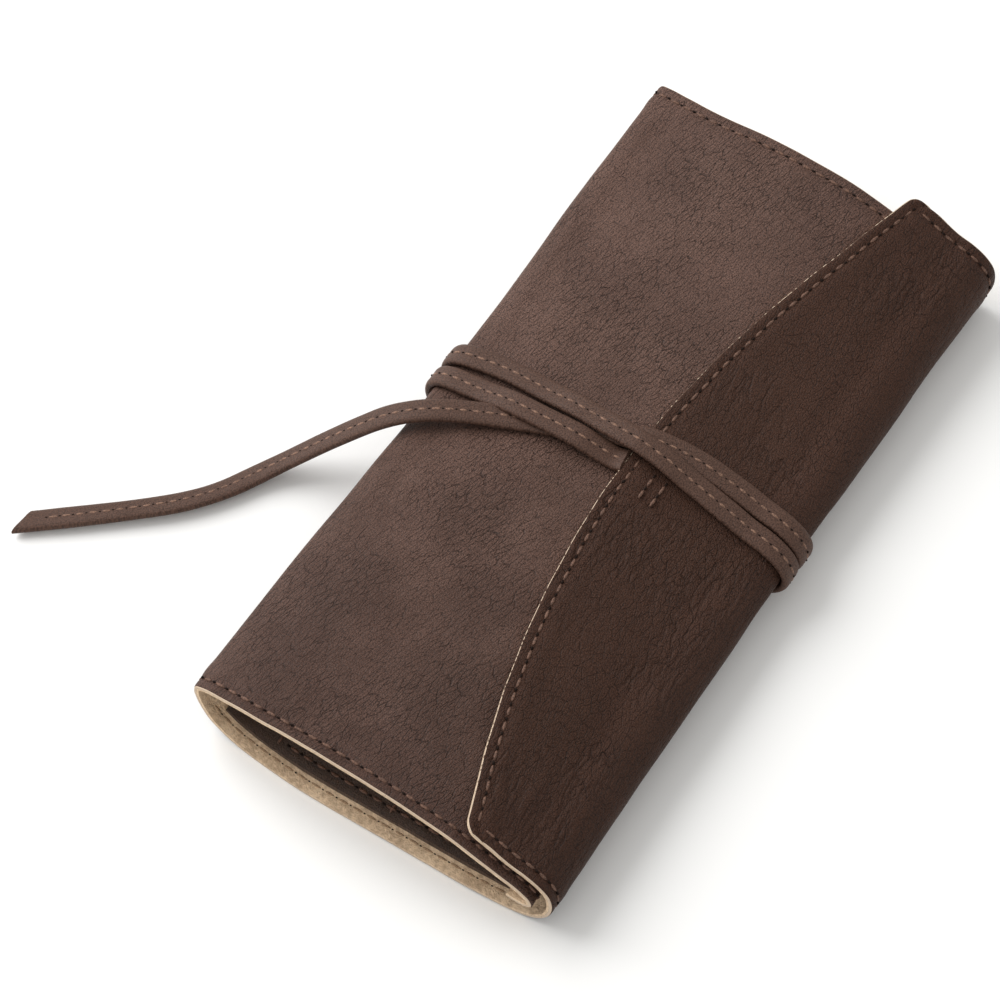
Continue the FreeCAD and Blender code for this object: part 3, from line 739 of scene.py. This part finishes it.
# Its lighter third colour goes on towards the far end of the pocket: painted light, as on the cover.
pocket_hide = leather(
    "pocket_leather", (0.095, 0.060, 0.045, 1), (0.030, 0.018, 0.014, 1), (0.125, 0.082, 0.062, 1),
    grain=9.5, stretch=1.0, lines=0.3, folds=0.2, depth=0.00022, gloss=0.45, rough=0.42,
)
pocket_y = np.unique(np.round(steps(POCKET_NEAR, POCKET_FAR, 1.6), 4))[:, None]
pocket_line = steps(run_of(37.0), RUN_LEFT - 15, 0.8)
pocket_runs, pocket_ys = np.broadcast_arrays(pocket_line[None, :], pocket_y)
pocket_x = np.interp(pocket_runs, RUN, LINE_X)
puff = 0.75 * puffed(pocket_x) * (0.45 + 0.55 * np.exp(-((pocket_ys - POCKET_NEAR) / 26)**2))
puff = puff * np.clip((pocket_runs - pocket_line[0]) / 6, 0, 1)
puff = puff * np.clip((pocket_line[-1] - pocket_runs) / 8, 0, 1)
pinch = 0.25 * np.exp(-((pocket_ys - POCKET_NEAR - SEAM_INSET) / 0.7)**2)
pocket = lamina(
    "pocket_panel_leather", pocket_runs, pocket_ys,
    LEATHER + SUEDE + 0.06, LEATHER + SUEDE + 1.0 + puff - pinch, [pocket_hide] * 3, pale=False,
)
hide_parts("pocket_panel")
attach(pocket, "back")


# Seams. Brown waxed thread in rows 2.7 mm from every rim, its beads sunk between dark needle
# holes, with the pocket's divider seams and the two short rows that hold the tie's end.
row_thread = thread_finish("row_thread", (0.175, 0.094, 0.064, 1), (0.070, 0.037, 0.025, 1))
lining_thread = thread_finish("lining_thread", (0.40, 0.27, 0.165, 1), (0.22, 0.14, 0.08, 1))
ROW = {"Long": 2.8, "Wide": 0.82, "High": 0.64, "Step": ROW_PITCH / 2, "Hole": 0.30}
FINE_ROW = {"Long": 2.9, "Wide": 0.6, "High": 0.45, "Step": ROW_PITCH / 2, "Hole": 0.18}
END_ROWS = (-HALF + SEAM_INSET, HALF - SEAM_INSET)


def row_on(run, y, raised):
    """Places, directions and outward directions of a row, a thread every ROW_PITCH along it."""
    path = place(run, y)
    gone = np.concatenate([[0], np.cumsum(np.linalg.norm(np.diff(path, axis=0), axis=1))])
    at = np.arange(ROW_PITCH / 2, gone[-1] - ROW_PITCH / 2, ROW_PITCH)
    run_at, y_at = np.interp(at, gone, run), np.interp(at, gone, y)
    out = outward(run_at, y_at)
    shift = sway(run_at, y_at) + raised
    along = unit(place(np.interp(at + 0.6, gone, run), np.interp(at + 0.6, gone, y)) - place(run_at, y_at))
    return place(run_at, y_at) + out * shift[:, None], along, out


def gathered(rows):
    """Several rows as one set of places, directions and outward directions."""
    return [np.concatenate(part) for part in zip(*rows)]


row_y = np.linspace(-HALF + SEAM_INSET, HALF - SEAM_INSET, 400)
flap_rows = [row_on(flap_start(row_y) + SEAM_INSET, row_y, -0.22)]
for end in END_ROWS:
    run = np.linspace(flap_start(np.array(end)) + SEAM_INSET + 1.5, RUN_JOIN, 400)
    flap_rows.append(row_on(run, np.full(400, end), -0.22))
flap_thread = stitches("flap_and_back_stitches", *gathered(flap_rows), row_thread, needle_hole, **ROW)
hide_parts("flap_stitches")
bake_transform(flap_thread)

front_rows = []
for end in END_ROWS:
    front_rows.append(row_on(np.linspace(RUN_JOIN, RUN_END - 2, 500), np.full(500, end), -0.22))
front_thread = stitches("front_leather_stitches", *gathered(front_rows), row_thread, needle_hole, **ROW)
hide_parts("front_stitches")
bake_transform(front_thread)

inner_rows = []
for end in END_ROWS:
    run = np.linspace(run_of(36.0), RUN_LEFT - 7, 400)
    places, along, out = row_on(run, np.full(400, end), -LEATHER - SUEDE + 0.1)
    inner_rows.append((places, along, -out))
inner_thread = stitches("back_lining_stitches", *gathered(inner_rows), lining_thread, needle_hole, **FINE_ROW)
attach(inner_thread, "back")

pocket_rows = []
deep = -LEATHER - SUEDE - 0.95
for x in SLOT_SEAMS:
    seam_y = np.linspace(POCKET_NEAR + 1.0, POCKET_FAR - 3, 200)
    places, along, out = row_on(np.full(200, run_of(x)), seam_y, deep)
    pocket_rows.append((places, along, -out))
run = np.linspace(run_of(35.0), run_of(-29.0), 300)
places, along, out = row_on(run, np.full(300, POCKET_NEAR + SEAM_INSET), deep)
pocket_rows.append((places - out * (0.7 * puffed(places[:, 0] / 0.98))[:, None], along, -out))
pocket_thread = stitches("pocket_panel_stitches", *gathered(pocket_rows), row_thread, needle_hole, **ROW)
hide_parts("pocket_stitches")
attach(pocket_thread, "back")

tab_rows = []
for inset in (8.0, 11.5):
    tab_y = np.linspace(-3.6, 8.0, 60)
    tab_rows.append(row_on(flap_start(tab_y) + inset, tab_y, 0.36))
tab_thread = stitches("tie_end_stitches", *gathered(tab_rows), row_thread, needle_hole, **ROW)
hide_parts("tab_stitches")
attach(tab_thread, "flap")


# Tie. The same folded strap as its tail: sewn under the flap's edge, it goes to the left over its
# own tail, twice round the roll, crosses under its second turn on the crown and is tucked in.
def crown_run(x, front_side=True):
    """Run at which the front, or the flap, passes x over the crown."""
    chosen = (RUN > RUN_LEFT) & (RUN < RUN_END - 17) if front_side else RUN < RUN_RIGHT - 4
    return RUN[chosen][np.argmin(np.abs(LINE_X[chosen] - x))]


TURN = crown_run(3.2) - crown_run(3.2, False)


def wound(stops):
    """Centre line and up directions of the strap. stops: turns gone, run on the spiral, y, height over it."""
    travel = [turns * TURN + crown_run(3.2) - run for turns, run, _, _ in stops]
    at = np.arange(travel[0], travel[-1], 0.8)
    across = curve_through([(t, s[2]) for t, s in zip(travel, stops)])
    y = np.interp(at, across[:, 0], across[:, 1])
    height = eased(at, [(t, s[3]) for t, s in zip(travel, stops)])
    run = crown_run(3.2) - np.mod(at, TURN)
    centre = place(run, y) + outward(run, y) * (height + TIE_THICK / 2)[:, None]
    ups = outward(run, y)
    for k in range(3):
        centre[:, k] = soften(centre[:, k], 2)
        ups[:, k] = soften(ups[:, k], 3)
    return centre, unit(ups)


BOTTOM = run_of(0.0)
wound_path, wound_ups = wound([
    (0, crown_run(4.8), 4.3, -0.7),
    (0, crown_run(-1.0), 3.9, 0.4),
    (0, crown_run(-9.5), 3.4, 2.1),
    (0, crown_run(-26.0), 2.8, 2.1),
    (0, crown_run(-37.0), 2.7, 0.4),
    (0, RUN_LEFT, 2.3, 0.3),
    (0, BOTTOM, 3.8, 0.1),
    (0, RUN_RIGHT, 5.7, 0.3),
    (1, crown_run(29.0, False) + TURN, 7.4, 0.3),
    (1, crown_run(21.0, False) + TURN, 8.0, 0.5),
    (1, crown_run(11.0, False) + TURN, 8.5, 1.9),
    (1, crown_run(4.4, False) + TURN, 8.9, 1.9),
    (1, crown_run(2.0), 9.1, 3.9),
    (1, crown_run(-10.0), 9.9, 2.3),
    (1, crown_run(-24.0), 10.6, 0.35),
    (1, crown_run(-34.0), 10.7, 0.3),
    (1, RUN_LEFT, 9.2, 0.3),
    (1, BOTTOM, 10.5, 0.1),
    (1, RUN_RIGHT, 12.1, 0.3),
    (2, crown_run(29.0, False) + TURN, 13.5, 0.2),
    (2, crown_run(19.0, False) + TURN, 13.4, 0.15),
    (2, crown_run(9.0, False) + TURN, 12.2, 0.1),
    (2, crown_run(4.4, False) + TURN, 11.2, 0.0),
    (2, crown_run(2.0), 10.4, 1.2),
    (2, crown_run(-7.0), 9.7, 0.1),
])
turns, turns_seam, turns_ups, turns_run = strap("tie_turns_strap", wound_path, wound_ups, tie_brown)
turns_row = (turns_seam, turns_ups, turns_run, tie_thread, needle_hole, 1.0, turns_run[-1] - 1)
turns_thread = sewn_seam("tie_turns_thread", *turns_row)
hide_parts("tie_turns")
for part in (turns, turns_thread):
    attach(part, "back")
    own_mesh(part)

end_y = np.full(24, 4.0)
end_run = np.linspace(flap_start(np.array(4.0)) + 1.0, flap_start(np.array(4.0)) + 17.0, 24)
end_ups = outward(end_run, end_y)
end_path = place(end_run, end_y) - end_ups * 1.62
tab, _, _, _ = strap("tie_sewn_end", end_path, end_ups, tie_brown)
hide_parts("tie_tab")
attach(tab, "flap")

bpy.context.view_layer.update()
